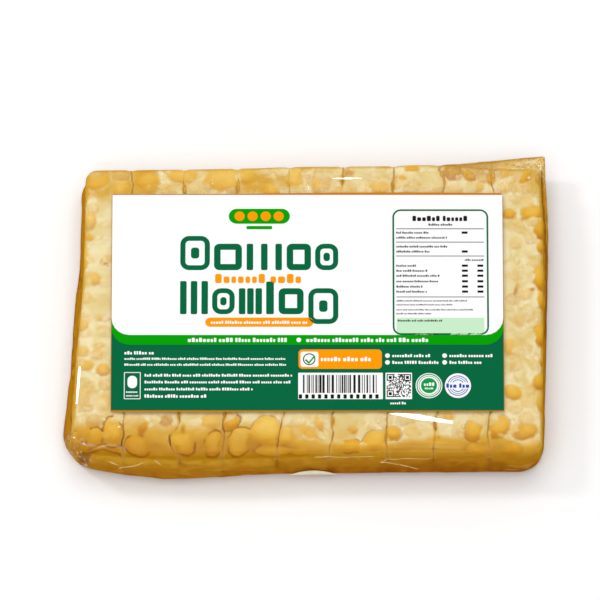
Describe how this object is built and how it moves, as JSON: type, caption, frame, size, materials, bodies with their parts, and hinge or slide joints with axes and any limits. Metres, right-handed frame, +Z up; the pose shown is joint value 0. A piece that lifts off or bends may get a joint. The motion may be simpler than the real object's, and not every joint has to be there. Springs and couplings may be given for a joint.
{
  "type": "vacuum pack of tempeh",
  "caption": "Flat sealed pack of yellow marinated soybean cake cut into sticks lying side by side under clear film, with a plain rectangular label on top.",
  "frame": {"origin": "middle of the pack's box, on the surface it rests on", "axes": "+Z up; +X across the sticks, along the label's long side; +Y along the sticks, towards the rear edge with the loose film corner"},
  "size_m": [0.1643, 0.1136, 0.0184],
  "materials": {
    "film_over_tempeh": "clear glossy film drawn tight over cream and golden soybean cake",
    "label_paper": "coated paper, white field over a green lower field"
  },
  "bodies": {
    "root": {"pouch": "film_over_tempeh", "label": "label_paper"}
  },
  "joints": []
}
